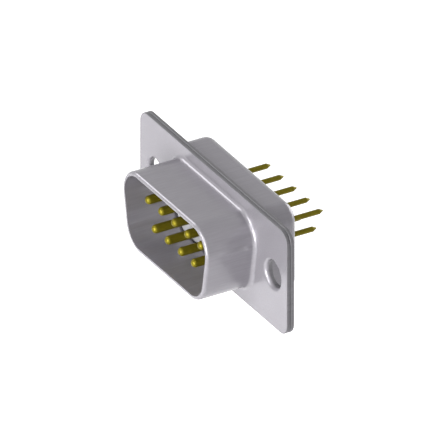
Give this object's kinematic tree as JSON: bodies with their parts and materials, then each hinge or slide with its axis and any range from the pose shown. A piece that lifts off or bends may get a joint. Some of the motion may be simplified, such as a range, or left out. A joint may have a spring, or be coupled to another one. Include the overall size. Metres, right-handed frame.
{
  "type": "d-sub connector",
  "caption": "Straight D-sub pin connector: flanged drawn steel shell with a D-shaped shroud around rows of round pins, a rear can and straight board tails.",
  "frame": {"origin": "centre of the flange's front face, midway between the two fixing holes", "axes": "-Y is the mating direction, +Y points along the board tails, +X runs along the flange and +Z points to the wide row of contacts"},
  "size_m": [0.0312, 0.0162, 0.0126],
  "materials": {
    "shell": "satin tin plate",
    "insulator": "moulded",
    "contact": "gold plate"
  },
  "bodies": {
    "root": {"front_shell": "shell", "rear_shell": "shell", "front_insulator": "insulator", "rear_insulator": "insulator", "contact_1": "contact", "contact_2": "contact", "contact_3": "contact", "contact_4": "contact", "contact_5": "contact", "contact_6": "contact", "contact_7": "contact", "contact_8": "contact", "contact_9": "contact"}
  },
  "joints": []
}
